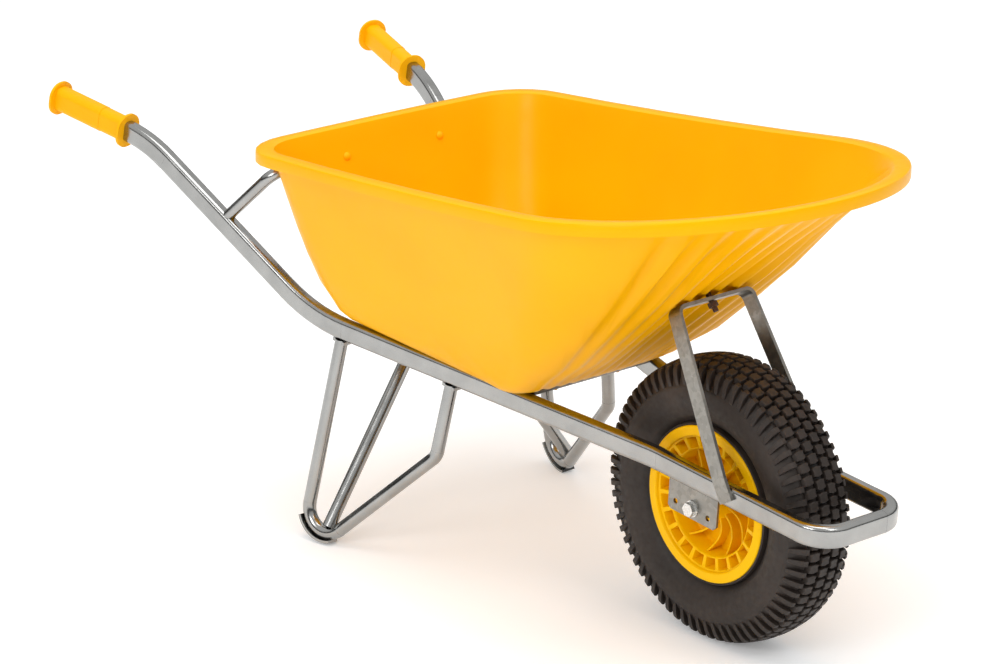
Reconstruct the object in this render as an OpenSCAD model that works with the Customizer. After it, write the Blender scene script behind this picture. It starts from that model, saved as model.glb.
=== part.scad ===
// Wheelbarrow: a deep moulded tray on a bent flat-oval tube frame with one
// pneumatic wheel, two looped legs and two slip-on grips.
// Millimetres. +X points forward to the wheel, +Y left, +Z up.
// The origin is on the ground under the middle of the whole barrow.

/* [Wheel] */
// Outside diameter of the tyre over its tread
tyre_d = 410; // [360:1:420]
// Width of the tyre at its fattest
tyre_w = 101; // [80:1:108]
// Diameter of the rim where the tyre bead sits
bead_d = 203; // [180:1:230]
// Width of the rim between its two flange faces
rim_w = 88; // [70:1:96]
// How far the rim flange stands out past the bead seat
flange_h = 10.5; // [6:0.5:16]
// Thickness of the rubber casing
casing_t = 8; // [6:0.5:10]
// Pockets moulded in each outer ring of the rim
pocket_n = 22; // [12:1:28]
// Diameter of the steel axle sleeve that the bushes turn on
sleeve_d = 20; // [16:0.5:24]
// Diameter of the axle bolt
bolt_d = 12; // [10:0.5:14]

/* [Frame tube] */
// Height of the flat-oval frame tube
tube_h = 32; // [26:0.5:38]
// Thickness of the flat-oval frame tube, side to side
tube_w = 20; // [16:0.5:26]
// Corner radius of the flat-oval tube
tube_r = 7; // [5:0.5:8]
// Wall of the frame tube
tube_t = 1.8; // [1.2:0.1:2.6]
// Centre to centre distance of the two rails beside the wheel
fork_w = 156; // [150:1:176]
// Distance from the axle forward to the front face of the nose bar
nose_reach = 272; // [235:1:300]
// Distance from the axle back to the end of the grips
handle_reach = 1189; // [1120:1:1300]
// Height of the rail centre above the axle
rail_rise = 55; // [48:0.5:70]
// Rise per unit of length of the rails beside the wheel
fork_slope = 0.065; // [0:0.005:0.12]
// Outward spread per unit of length of the rails behind the wheel
spread = 0.206; // [0.16:0.002:0.24]
// Rise per unit of length of the rails under the tray
bed_slope = 0.1085; // [0.05:0.005:0.16]
// Rise per unit of length of the steep part behind the tray
lift_slope = 0.65; // [0.4:0.01:0.8]
// Rise per unit of length of the handles
grip_slope = 0.185; // [0.05:0.005:0.3]

/* [Legs and braces] */
// Diameter of the leg and brace tubes
leg_d = 20; // [16:0.5:25]
// Wall of the leg and brace tubes
leg_t = 1.5; // [1:0.1:2.5]
// Width of the flat bar of the front stay
stay_w = 25; // [18:0.5:30]
// Thickness of the flat bar of the front stay and the cross tie
bar_t = 5; // [3:0.5:6]
// Diameter of the hoop that carries the back of the tray
hoop_d = 18; // [14:0.5:22]
// Thickness of the wear plates under the feet
wear_t = 4; // [3:0.5:6]

/* [Tray] */
// Half width of the rim at its widest, in front
rim_half = 309; // [280:1:330]
// Distance from the axle forward to the front of the rim
rim_front = 204; // [170:1:230]
// Distance from the axle back to the back of the rim
rim_back = 780; // [765:1:795]
// Height of the rim above the axle at the back
rim_up_back = 379.5; // [360:1:410]
// Height of the rim above the axle at the front
rim_up_front = 488.5; // [450:1:520]
// Wall of the tray
tray_t = 4; // [3:0.25:6]
// Height of the turned-down edge of the rim
lip_h = 19; // [12:0.5:22]
// Width of the rim from the wall to its outer edge
lip_w = 22; // [16:0.5:28]
// Depth of the ribs pressed in the front slope
rib_a = 2.4; // [0:0.1:3]

/* [Grips] */
// Length of each grip
grip_l = 146; // [110:1:170]
// Rubber thickness over the tube
grip_t = 3.4; // [2:0.1:5]

/* [Fits] */
// Radial play between the axle sleeve and the bushes
run_gap = 0.05; // [0.02:0.01:0.1]
// Gap along the axle between turning and fixed parts
end_gap = 0.6; // [0.4:0.1:1.5]
// Play of bolts in their holes, on the radius
bolt_gap = 0.2; // [0.1:0.05:0.5]
// Gap between the tray and the rails it lies on
seat_gap = 0.3; // [0.2:0.05:1]

/* [Hidden] */
$fn = 48;
axle_z = tyre_d / 2;
shift = (handle_reach - nose_reach) / 2;
fork_y = fork_w / 2;
bend_back = 68;
rail_z = axle_z + rail_rise;

// Path of the left rail, measured from the axle, x negative to the back
function rail_y(x) = fork_y + max(0, -bend_back - x) * spread;
bend_z = rail_z + bend_back * fork_slope;
kick_back = 679.5;
lift_back = 1000;
kick_z = bend_z + (kick_back - bend_back) * bed_slope;
lift_z = kick_z + (lift_back - kick_back) * lift_slope;
end_back = handle_reach - 11.78;
end_z = lift_z + (end_back - lift_back) * grip_slope;
nose_x = nose_reach - tube_w / 2 - (tube_h / 2 - tube_r) * fork_slope;
nose_z = rail_z - nose_x * fork_slope;
rail_path = [
    [nose_x, 0, nose_z],
    [nose_x, fork_y, nose_z],
    [-bend_back, fork_y, bend_z],
    [-kick_back, rail_y(-kick_back), kick_z],
    [-lift_back, rail_y(-lift_back), lift_z],
    [-end_back, rail_y(-end_back), end_z]
];
rail_bends = [0, 42, 120, 262, 226, 0];
rail_up = [fork_slope, 0, 1];
function bed_z(x) = bend_z + (-bend_back - x) * bed_slope;
bed_a = atan(bed_slope);
bed_top = tube_h / 2 / cos(bed_a);
function bed_top_z(x) = bed_z(x) + bed_top;

// Tray numbers: the floor, the swell of the wall, and the slope of its front and back
rib_n = 7.3;
rib_edge = 0.76;
floor_back = 687;
floor_front = -266;
floor_half = 197;
floor_nose = 166;
floor_in = 22;
back_bow = 3;
rim_sag = 42;
swell_front = 17;
swell_flat = -12;
swell_side = 3;
swell_back = 6;
swell_corner = 9;
front_root = rim_top_z(rim_front - lip_w) - 9;
front_run = rim_front - lip_w - floor_front;
front_a = atan((front_root - bed_top_z(floor_front)) / front_run);
back_root = rim_top_z(lip_w - rim_back) - 9;
back_floor = bed_top_z(-floor_back) + seat_gap;
back_run = floor_back - rim_back + lip_w;
back_a = atan(-back_run / (back_root - back_floor));

// Vector helpers for bending a section along a path
function unit(v) = v / norm(v);
function way(p, i) = unit(p[i + 1] - p[i]);
function bend_angle(p, i) = acos(way(p, i - 1) * way(p, i));
function bend_axis(p, i) = unit(cross(way(p, i - 1), way(p, i)));
function cut_back(p, r, i) = (i == 0 || i == len(p) - 1) ? 0 : r[i] * tan(bend_angle(p, i) / 2);
function spin_about(v, k, a) = v * cos(a) + cross(k, v) * sin(a) + k * (k * v) * (1 - cos(a));
function square_up(u, d) = unit(u - (u * d) * d);
function up_at(p, u, i) = i == 0
    ? square_up(u, way(p, 0))
    : spin_about(up_at(p, u, i - 1), bend_axis(p, i), bend_angle(p, i));

module axes_at(o, x, y, z) {
    multmatrix([
        [x[0], y[0], z[0], o[0]],
        [x[1], y[1], z[1], o[1]],
        [x[2], y[2], z[2], o[2]],
        [0, 0, 0, 1]
    ])
        children();
}

// Straights reach this far into the bends, so that the tube is one solid
lap = 0.5;
end_lap = 0.02;
// Bends are this much fuller than the straights, as bent tube is
full = 0.15;
$grow = 0;

// Run the child section along path p with bend radii r
module along(p, r, u) {
    for (i = [0 : len(p) - 2]) {
        d = way(p, i);
        up = up_at(p, u, i);
        a = p[i] + (cut_back(p, r, i) - (i == 0 ? end_lap : lap)) * d;
        b = p[i + 1] - (cut_back(p, r, i + 1) - (i == len(p) - 2 ? end_lap : lap)) * d;
        axes_at(a, cross(up, d), up, d)
            linear_extrude(height = norm(b - a))
                children();
    }
    for (i = [1 : 1 : len(p) - 2]) {
        d = way(p, i - 1);
        up = up_at(p, u, i - 1);
        k = bend_axis(p, i);
        inw = cross(k, d);
        c = p[i] - cut_back(p, r, i) * d + r[i] * inw;
        $grow = full;
        axes_at(c, -inw, d, k)
            rotate_extrude(angle = bend_angle(p, i), $fn = 96)
                translate([r[i], 0])
                    rotate(atan2(up * inw, up * k))
                        children();
    }
}

module oval(w, h, r) {
    square([w - 2 * r, h], center = true);
    square([w, h - 2 * r], center = true);
    for (sx = [-1, 1], sy = [-1, 1])
        translate([sx * (w / 2 - r), sy * (h / 2 - r)])
            circle(r);
}

module both_sides() {
    children();
    mirror([0, 1, 0])
        children();
}

// Shift from axle coordinates to the middle of the barrow
module from_axle() {
    translate([shift, 0, 0])
        children();
}

module frame_tube() {
    color("silver")
        from_axle()
            both_sides()
                along(rail_path, rail_bends, rail_up)
                    difference() {
                        oval(tube_w + 2 * $grow, tube_h + 2 * $grow, tube_r + $grow);
                        oval(
                            tube_w - 2 * tube_t - 2 * $grow,
                            tube_h - 2 * tube_t - 2 * $grow,
                            tube_r - tube_t - $grow
                        );
                    }
}

// Legs: one tube each, from the rail down round the foot and up to the rail
leg_gap = 0.3;
foot_bend = 36;
wear_w = 22;
wear_arc = 86;
function under_rail(x) = [x, rail_y(x), bed_z(x) - bed_top - leg_gap];
rear_top = under_rail(-625.5);
front_top = under_rail(-422.5);
leg_knee = [-434, rail_y(-434) + 15.5, axle_z - 30];
function foot_at(z) = [-652.5, rail_y(-652.5) + 57, z];
function leg_way(z) = [rear_top, foot_at(z), leg_knee, front_top];
function foot_axis(z) = bend_axis(leg_way(z), 1);
function foot_half(z) = bend_angle(leg_way(z), 1) / 2;
function foot_in(z) = unit(way(leg_way(z), 1) - way(leg_way(z), 0));
function foot_centre(z) = foot_at(z) + foot_in(z) * foot_bend / cos(foot_half(z));
wear_r = foot_bend + leg_d / 2 + full + 0.1;
function foot_low(z) = foot_centre(z)[2]
    - (wear_r + wear_t) * norm([foot_axis(z)[0], foot_axis(z)[1]])
    - wear_w / 2 * abs(foot_axis(z)[2]);
// The foot is lowered until its wear plate stands on the ground
foot_z1 = -45 - foot_low(-45);
foot_z2 = foot_z1 - foot_low(foot_z1);
foot_z3 = foot_z2 - foot_low(foot_z2);
foot_z = foot_z3 - foot_low(foot_z3);
leg_path = leg_way(foot_z);
leg_bends = [0, foot_bend, 24, 0];

module disc_ring(d, t) {
    difference() {
        circle(d / 2 + $grow);
        circle(d / 2 - t - $grow);
    }
}

module leg() {
    from_axle()
        difference() {
            union() {
                along(leg_path, leg_bends, [1, 0, 0])
                    disc_ring(leg_d, leg_t);
                for (p = [rear_top, front_top])
                    translate(p)
                        rotate([0, bed_a, 0])
                            translate([0, 0, -3])
                                cube([leg_d + 6, 14, 5], center = true);
            }
            for (p = [rear_top, front_top])
                translate(p)
                    rotate([0, bed_a, 0])
                        translate([-30, -30, 0])
                            cube([60, 60, 20]);
        }
}

module leg_left() {
    color("silver")
        leg();
}

module leg_right() {
    color("silver")
        mirror([0, 1, 0])
            leg();
}

// Curved wear plate under the bend of each foot
module foot_plate() {
    d = way(leg_path, 0);
    k = foot_axis(foot_z);
    from_axle()
        axes_at(foot_centre(foot_z), -cross(k, d), d, k)
            rotate([0, 0, foot_half(foot_z) - wear_arc / 2])
                rotate_extrude(angle = wear_arc, $fn = 96)
                    translate([wear_r, -wear_w / 2])
                        square([wear_t, wear_w]);
}

module foot_plate_left() {
    color("silver")
        foot_plate();
}

module foot_plate_right() {
    color("silver")
        mirror([0, 1, 0])
            foot_plate();
}

// Hoop between the two feet, arched under the tray
brace_x = -621;
brace_z = bed_top_z(brace_x) - leg_d / 2 - 0.6;
brace_y = 23;
brace_foot = [-599, rail_y(-599) + 52, 28];
brace_path = [
    brace_foot,
    [brace_x, brace_y, brace_z],
    [brace_x, -brace_y, brace_z],
    [brace_foot[0], -brace_foot[1], brace_foot[2]]
];

module leg_brace() {
    color("silver")
        from_axle()
            difference() {
                along(brace_path, [0, 24, 24, 0], [1, 0, 0])
                    disc_ring(leg_d, leg_t);
                both_sides()
                    along([leg_path[0], leg_path[1], leg_path[2]], [0, foot_bend, 0], [1, 0, 0])
                        circle(leg_d / 2 + full + 0.1);
            }
}

// Things that lie along the slope of the rails under the tray
module on_bed(x, y) {
    translate([x, y, bed_top_z(x)])
        rotate([0, bed_a, 0])
            children();
}

tie_x = -298;
tie_w = 25;
tie_bolt_y = 60;
m6 = 6;

module cross_tie() {
    y1 = rail_y(tie_x + tie_w / 2) - tube_w / 2 - 0.9;
    y2 = rail_y(tie_x - tie_w / 2) - tube_w / 2 - 0.9;
    color("silver")
        from_axle()
            on_bed(tie_x, 0)
                difference() {
                    translate([0, 0, -bar_t])
                        linear_extrude(height = bar_t)
                            polygon([
                                [tie_w / 2, y1], [-tie_w / 2, y2],
                                [-tie_w / 2, -y2], [tie_w / 2, -y1]
                            ]);
                    for (s = [-1, 1])
                        translate([0, s * tie_bolt_y, -bar_t - 1])
                            cylinder(d = m6 + 2 * bolt_gap, h = bar_t + 2);
                }
}

// Hoop behind the tray
hoop_foot_x = -845;
hoop_z = axle_z + 333;
hoop_x = back_wall_x(hoop_z) - hoop_d / 2 / cos(back_a) - 0.6;
hoop_y = 214;
hoop_bolt_y = 90;
function lift_top_z(x) = kick_z + (-kick_back - x) * lift_slope + tube_h / 2 / cos(atan(lift_slope));
hoop_path = [
    [hoop_foot_x, rail_y(hoop_foot_x), lift_top_z(hoop_foot_x) - 6],
    [hoop_x, hoop_y, hoop_z],
    [hoop_x, -hoop_y, hoop_z],
    [hoop_foot_x, -rail_y(hoop_foot_x), lift_top_z(hoop_foot_x) - 6]
];

module rail_block() {
    along(rail_path, rail_bends, rail_up)
        oval(tube_w + 0.6, tube_h + 0.6, tube_r);
}

module rear_hoop() {
    color("silver")
        from_axle()
            difference() {
                along(hoop_path, [0, 30, 30, 0], [0, 0, 1])
                    disc_ring(hoop_d, leg_t);
                both_sides()
                    rail_block();
                at_hoop_bolts()
                    cylinder(d = m6 + 2 * bolt_gap, h = 30, center = true);
            }
}

// Front stay: a flat bar hoop in one leaning plane, welded outside the rails
stay_x = 88;
stay_z = axle_z + 49;
stay_a = 30.5;
stay_top = 268;
stay_half = 69;
stay_foot = fork_y + tube_w / 2 + 0.1 + bar_t / 2;
m8 = 8;
module on_stay() {
    translate([stay_x, 0, stay_z])
        rotate([0, -stay_a, 0])
            children();
}

module front_stay() {
    color("silver")
        from_axle()
            difference() {
                on_stay()
                    along([
                        [0, stay_foot, -6], [0, stay_foot, 24],
                        [0, stay_half, stay_top], [0, -stay_half, stay_top],
                        [0, -stay_foot, 24], [0, -stay_foot, -6]
                    ], [0, 60, 12, 12, 60, 0], [1, 0, 0])
                        square([bar_t + 2 * $grow, stay_w + 2 * $grow], center = true);
                at_stay_bolt()
                    cylinder(d = m8 + 2, h = 30, center = true);
            }
}

// Axle plates, welded inside the rails and hanging below them
plate_t = 4;
plate_y = fork_y - tube_w / 2 - 0.1 - plate_t;
hole_step = 31;

module axle_plate() {
    from_axle()
        translate([0, plate_y + plate_t, axle_z])
            rotate([90, 0, 0])
                linear_extrude(height = plate_t)
                    difference() {
                        polygon([
                            [-49, -8], [-44, -13], [42, -19], [48, -14], [52, 52],
                            [46, 57], [-40, 62], [-46, 57]
                        ]);
                        circle(bolt_d / 2 + bolt_gap);
                        translate([-hole_step - 3, 1])
                            circle(4.25);
                        translate([hole_step, -5])
                            circle(4.25);
                    }
}

module axle_plate_left() {
    color("silver")
        axle_plate();
}

module axle_plate_right() {
    color("silver")
        mirror([0, 1, 0])
            axle_plate();
}

// Grips over the ends of the rails
last = len(rail_path) - 2;
module at_rail_end() {
    d = way(rail_path, last);
    up = up_at(rail_path, rail_up, last);
    axes_at(rail_path[last + 1], cross(up, d), up, d)
        children();
}

module grip() {
    from_axle()
        at_rail_end()
            difference() {
                union() {
                    translate([0, 0, 1])
                        linear_extrude(height = 4)
                            oval(tube_w + 27, tube_h + 21, 22);
                    translate([0, 0, -0.62 * grip_l])
                        linear_extrude(height = 0.62 * grip_l + 2)
                            oval(tube_w + 2 * grip_t, tube_h + 2 * grip_t, tube_r + grip_t);
                    translate([0, 0, 5 - grip_l])
                        linear_extrude(height = 0.38 * grip_l)
                            oval(tube_w + 2 * grip_t - 1.2, tube_h + 2 * grip_t - 1.2, tube_r + grip_t - 0.6);
                    translate([0, 0, 5 - grip_l])
                        linear_extrude(height = 4)
                            oval(tube_w + 27, tube_h + 21, 22);
                }
                translate([0, 0, -grip_l])
                    linear_extrude(height = grip_l + 0.1)
                        oval(tube_w + 0.2, tube_h + 0.2, tube_r + 0.1);
            }
}

module grip_left() {
    color("gold")
        grip();
}

module grip_right() {
    color("gold")
        mirror([0, 1, 0])
            grip();
}

// Tray: rings of points from the floor up the wall, over the rim and back down
// inside. Each ring is given by its left half, from the back to the front.
function corner(xr, wr, rr) = [for (a = [15 : 15 : 90]) [xr + rr * (1 - cos(a)), wr - rr + rr * sin(a)]];
function front_x(xc, fl, e, f) = xc + fl * pow(1 - pow(f, e), 1 / e);
function half_ring(xr, wr, rr, xf, wf, fl, e) = concat(
    [for (i = [0 : 3]) [xr - back_bow * (1 - i * i / 9), (wr - rr) * i / 3]],
    corner(xr, wr, rr),
    [for (i = [1 : 5]) [xr + rr + (xf - fl - xr - rr) * i / 5, wr + (wf - wr) * i / 5]],
    [for (j = [1 : 8]) let (f = 1 - (1 - rib_edge) * pow(j / 8, 2)) [front_x(xf - fl, fl, e, f), wf * f]],
    [for (j = [1 : 36]) let (f = rib_edge * (1 - j / 36)) [front_x(xf - fl, fl, e, f), wf * f]]
);
ring_m = 58;
rib_from = 22;
function rim_top_z(x) = let (t = (x + rim_back) / (rim_front + rim_back))
    axle_z + rim_up_back + (rim_up_front - rim_up_back) * t - rim_sag * t * (1 - t);
function on_rim(h, dz) = [for (p = h) [p[0], p[1], rim_top_z(p[0]) + dz]];
function on_floor(h, dz) = [for (p = h) [p[0], p[1], bed_top_z(p[0]) + seat_gap + dz]];
function floor_ring(g, d) = on_floor(
    half_ring(back_bow - floor_back + g * 1.1, floor_half - g * 1.1, 80 - g * 0.5, floor_front - g * 1.5,
        floor_nose - g * 1.1, 69 - g * 0.5, 5), d);
function rim_ring(g, front, dz) = on_rim(
    half_ring(back_bow - rim_back + g, rim_half - 28 - g, 88 - g * 0.6, rim_front - g - front,
        rim_half - g, 303 - g * 0.6, 1.97), dz);
function mix(a, b, t) = [for (i = [0 : len(a) - 1]) a[i] * (1 - t) + b[i] * t];
function rib_wave(i) = i <= rib_from ? 0
    : min(1, (i - rib_from) / 3) * (1 - cos(360 * rib_n * rib_edge * (1 - (i - rib_from) / 36) + 180)) / 2;
function ribbed(h, k) = [for (i = [0 : len(h) - 1]) h[i] - 2 * rib_a * k * rib_wave(i) * [0.63, 0, -0.78]];
function fold(a, b, c, t) = mix(mix(a, b, t), mix(b, c, t), t);
// Outward way of the wall in plan, and how far it swells out there
function out_way(h, i) = i == 0 ? [-1, 0] : i == len(h) - 1 ? [1, 0]
    : let (t = h[i + 1] - h[i - 1]) unit([-t[1], t[0]]);
function swell_at(n) = n[0] > 0
    ? 2 * swell_front * n[0] * abs(n[1]) + swell_flat * pow(n[0], 6) + swell_side * n[1] * n[1] * (1 - n[0])
    : -swell_back * n[0] + swell_side * n[1] * n[1] * (1 + n[0]) - swell_corner * n[0] * abs(n[1]);
function skew(t) = 4 * t * (1 - t) * (1.5 - t);
function swollen(h, rim, t) = [
    for (i = [0 : len(h) - 1])
        let (n = out_way(rim, i))
        h[i] + skew(t) * swell_at(n) * [n[0], n[1], 0]
];
function wall_rings(g, d, rim) = let (
        fi = floor_ring(g + floor_in, d),
        fo = floor_ring(g, d),
        up = mix(fo, rim, 0.09)
    ) concat(
        [for (t = [0, 0.25, 0.5, 0.75, 1]) ribbed(fold(fi, fo, up, t), t)],
        [for (t = [0.2, 0.38, 0.56, 0.75, 0.93]) swollen(ribbed(mix(fo, rim, t), 1), rim, t)],
        [rim]
    );
rim_root = rim_ring(lip_w, 0, -9);
function lip_ring(q, dz) = rim_ring(lip_w * (1 - q), 0, dz);
function inner_root() = rim_ring(lip_w + tray_t * 1.05, tray_t * 0.5, -9);
function back_to_front(a) = [for (i = [len(a) - 1 : -1 : 0]) a[i]];
tray_rings = concat(
    wall_rings(0, 0, rim_root),
    [
        lip_ring(0.1, -4.2), lip_ring(0.74, -4.2), lip_ring(0.84, 1 - lip_h), lip_ring(0.97, -lip_h),
        lip_ring(1, 2 - lip_h), lip_ring(1, -4.5), lip_ring(0.95, -1.4), lip_ring(0.84, 0),
        lip_ring(0.1, 0), lip_ring(-0.08, -1.8)
    ],
    back_to_front(wall_rings(tray_t * 1.05, tray_t, inner_root()))
);
function whole_ring(h) = concat(h, [for (i = [ring_m - 1 : -1 : 1]) [h[i][0], -h[i][1], h[i][2]]]);
ring_n = 2 * ring_m;
// The two last points are the middles of the floor's outside and inside
floor_mid = (floor_front - floor_back) / 2;
tray_points = concat(
    [for (h = tray_rings) each whole_ring(h)],
    on_floor([[floor_mid, 0]], 0),
    on_floor([[floor_mid, 0]], tray_t)
);
function at_ring(r, i) = r * ring_n + (i + ring_n) % ring_n;
function band(r) = [
    for (i = [0 : ring_n - 1]) each [
        [at_ring(r, i), at_ring(r + 1, i), at_ring(r + 1, i + 1)],
        [at_ring(r, i), at_ring(r + 1, i + 1), at_ring(r, i + 1)]
    ]
];
function lid(r, mid, flip) = [
    for (i = [0 : ring_n - 1])
        let (a = at_ring(r, i), b = at_ring(r, i + 1))
        flip ? [b, a, mid] : [a, b, mid]
];

// Where the tray's bolts go, and the slope of its wall there
stay_bar_x = stay_x - stay_top * sin(stay_a);
stay_bar_z = stay_z + stay_top * cos(stay_a);
module at_stay_bolt() {
    translate([stay_bar_x, 0, stay_bar_z])
        rotate([0, -front_a, 0])
            children();
}
function back_t(z) = (z - back_floor) / (back_root - back_floor);
function back_wall_x(z) = -floor_back + back_run * back_t(z) - swell_back * skew(back_t(z));
module at_hoop_bolts() {
    for (s = [-1, 1])
        translate([hoop_x, s * hoop_bolt_y, hoop_z])
            rotate([0, 90 - back_a, 0])
                children();
}

module tray() {
    color("gold")
        from_axle()
            difference() {
                polyhedron(
                    points = tray_points,
                    faces = concat(
                        [for (r = [0 : len(tray_rings) - 2]) each band(r)],
                        lid(0, len(tray_rings) * ring_n, false),
                        lid(len(tray_rings) - 1, len(tray_rings) * ring_n + 1, true)
                    ),
                    convexity = 6
                );
                at_stay_bolt()
                    cylinder(d = m8 + 2 * bolt_gap, h = 40, center = true);
                for (s = [-1, 1])
                    on_bed(tie_x, s * tie_bolt_y)
                        cylinder(d = m6 + 2 * bolt_gap, h = 30, center = true);
                at_hoop_bolts()
                    cylinder(d = m6 + 2 * bolt_gap, h = 40);
            }
}

// Domed bolt along Z with its head bearing down on z = 0
module dome_bolt(d, down) {
    translate([0, 0, -down])
        cylinder(d = d, h = down + 1);
    intersection() {
        translate([0, 0, 3.4 - d * 1.3])
            sphere(r = d * 1.3);
        cylinder(d = d * 2.1, h = d);
    }
}

module hex_nut(d, h) {
    difference() {
        cylinder(d = d * 1.85, h = h, $fn = 6);
        translate([0, 0, -1])
            cylinder(d = d + 0.2, h = h + 2);
    }
}

// Wheel, built along Z and laid along the axle
module on_axle() {
    translate([shift, 0, axle_z])
        rotate([-90, 0, 0])
            children();
}

flange_t = 4;
rim_r = bead_d / 2;
flange_r = rim_r + flange_h;
barrel_t = 5;
ring_in = rim_r - barrel_t - 19;
hub_r = 24;
hub_half = 45;
bush_r = 15;
disc_half = 4;
crown_r = 130;
body_r = tyre_w / 2;
body_c = tyre_d / 2 - body_r;
bead_half = rim_w / 2 - flange_t - 0.1;

module wheel_rim() {
    color("gold")
        on_axle()
            difference() {
                union() {
                    rotate_extrude($fn = 96) {
                        translate([rim_r - barrel_t, -rim_w / 2])
                            square([barrel_t, rim_w]);
                        for (s = [-1, 1])
                            translate([rim_r - barrel_t, s * (rim_w / 2 - flange_t / 2) - flange_t / 2])
                                square([flange_h + barrel_t, flange_t]);
                        translate([ring_in, -rim_w / 2 + 5])
                            square([rim_r - barrel_t - ring_in + 1, rim_w - 10]);
                        translate([hub_r - 2, -disc_half])
                            square([ring_in - hub_r + 4, 2 * disc_half]);
                        translate([bush_r, -hub_half])
                            square([hub_r - bush_r, 2 * hub_half]);
                    }
                    for (i = [0 : 7])
                        rotate([0, 0, i * 45])
                            translate([hub_r - 2, -2.5, -28])
                                cube([ring_in - hub_r + 4, 5, 56]);
                }
                for (s = [-1, 1], i = [0 : pocket_n - 1])
                    rotate([0, 0, i * 360 / pocket_n])
                        translate([ring_in + 3, -pocket_w() / 2, s > 0 ? rim_w / 2 - 27 : -rim_w / 2 - 1])
                            cube([rim_r - barrel_t - ring_in - 4, pocket_w(), 28]);
                rotate([0, 0, 22.5])
                    translate([ring_in - 10, 0, 25])
                        rotate([0, 90, 0])
                            cylinder(r = 4.1, h = 60);
            }
}
function pocket_w() = 2 * PI * ring_in / pocket_n - 4.5;

module bush() {
    on_axle()
        rotate_extrude($fn = 64)
            difference() {
                union() {
                    translate([sleeve_d / 2 + run_gap, hub_half - 22])
                        square([bush_r - sleeve_d / 2 - run_gap, 22]);
                    translate([sleeve_d / 2 + run_gap, hub_half])
                        square([19 - sleeve_d / 2, 2.5]);
                }
            }
}

module bush_left() {
    color("dimgray")
        bush();
}

module bush_right() {
    color("dimgray")
        mirror([0, 1, 0])
            bush();
}

tread_half = 40;
shoulder = 48;
groove_w = 6;
groove_t = casing_t - 1.5;
module tyre_section() {
    translate([body_c, 0])
        circle(body_r, $fn = 96);
    translate([rim_r + 0.1, -bead_half])
        square([body_c - rim_r, 2 * bead_half]);
    intersection() {
        translate([tyre_d / 2 - crown_r, 0])
            circle(crown_r, $fn = 128);
        polygon([
            [body_c, -shoulder],
            [tyre_d / 2 - 22, -shoulder],
            [tyre_d / 2, -tread_half],
            [tyre_d / 2, tread_half],
            [tyre_d / 2 - 22, shoulder],
            [body_c, shoulder]
        ]);
    }
}

module tyre() {
    color("black")
        on_axle()
            rotate_extrude($fn = 128)
                difference() {
                    tyre_section();
                    translate([body_c, 0])
                        circle(body_r - casing_t, $fn = 96);
                    translate([rim_r - 5, -bead_half + 8])
                        square([body_c - rim_r, 2 * bead_half - 16]);
                    for (y = [-26, -9, 9, 26])
                        translate([tyre_d / 2 - groove_t - y * y / 180, y - groove_w / 2])
                            square([groove_t + 10, groove_w]);
                }
}

module inner_tube() {
    color("dimgray")
        on_axle()
            rotate_extrude($fn = 96)
                translate([body_c, 0])
                    disc_ring(2 * (body_r - casing_t - 0.3), 2);
}

module at_valve() {
    on_axle()
        rotate([0, 0, 22.5])
            translate([0, 0, 25])
                rotate([0, 90, 0])
                    children();
}
valve_r = rim_r - 40;

module valve_stem() {
    color("goldenrod")
        at_valve()
            translate([0, 0, valve_r]) {
                cylinder(r = 2.6, h = 8.1);
                translate([0, 0, 8])
                    cylinder(
                        r = 3.8,
                        h = body_c - sqrt(pow(body_r - casing_t - 0.5, 2) - 625) - valve_r - 11.5
                    );
            }
}

module valve_cap() {
    color("black")
        at_valve()
            translate([0, 0, valve_r - 2])
                difference() {
                    cylinder(r = 3.9, h = 9.8);
                    translate([0, 0, 2])
                        cylinder(r = 2.7, h = 10);
                }
}

// Parts clamped between the axle plates; they belong to the frame
module axle_sleeve() {
    color("silver")
        on_axle()
            difference() {
                translate([0, 0, -plate_y + 0.05])
                    cylinder(d = sleeve_d, h = 2 * plate_y - 0.1);
                translate([0, 0, -plate_y - 1])
                    cylinder(d = bolt_d + 2 * bolt_gap, h = 2 * plate_y + 2);
            }
}

module spacer() {
    z1 = hub_half + 2.5 + end_gap;
    on_axle()
        translate([0, 0, z1])
            difference() {
                cylinder(d = sleeve_d + 9, h = plate_y - 0.05 - z1);
                translate([0, 0, -1])
                    cylinder(d = sleeve_d + 0.1, h = plate_y);
            }
}

module spacer_left() {
    color("silver")
        spacer();
}

module spacer_right() {
    color("silver")
        mirror([0, 1, 0])
            spacer();
}

plate_out = plate_y + plate_t;
module axle_washers() {
    color("silver")
        on_axle()
            for (s = [-1, 1])
                translate([0, 0, s * (plate_out + 1.1) - 1])
                    difference() {
                        cylinder(d = 2 * bolt_d, h = 2);
                        translate([0, 0, -1])
                            cylinder(d = bolt_d + 2 * bolt_gap, h = 4);
                    }
}

module axle_bolt() {
    color("silver")
        on_axle() {
            translate([0, 0, -plate_out - 2.2])
                cylinder(d = bolt_d, h = 2 * plate_out + 2.2 + 16);
            translate([0, 0, -plate_out - 2.2 - 7.5])
                cylinder(d = bolt_d * 1.75, h = 7.5, $fn = 6);
        }
}

module axle_nut() {
    color("silver")
        on_axle()
            translate([0, 0, plate_out + 2.2])
                hex_nut(bolt_d, 10);
}

// Tray fasteners
module stay_bolt() {
    color("silver")
        from_axle()
            at_stay_bolt()
                translate([0, 0, head_up()])
                    dome_bolt(m8, head_up() + 19);
}
// Along the bolt from the middle of the stay bar to the inside of the tray
stay_t = (stay_bar_x - floor_front) / front_run;
function head_up() = (bed_top_z(floor_front) + seat_gap - stay_bar_z) * cos(front_a)
    + (stay_bar_x - floor_front) * sin(front_a)
    - skew(stay_t) * swell_flat * sin(front_a) + tray_t + 1.6 + 2 * rib_a;

module stay_nut() {
    color("sienna")
        from_axle()
            at_stay_bolt()
                translate([0, 0, -bar_t / 2 - 2.4 - 7])
                    hex_nut(m8, 7);
}

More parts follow.
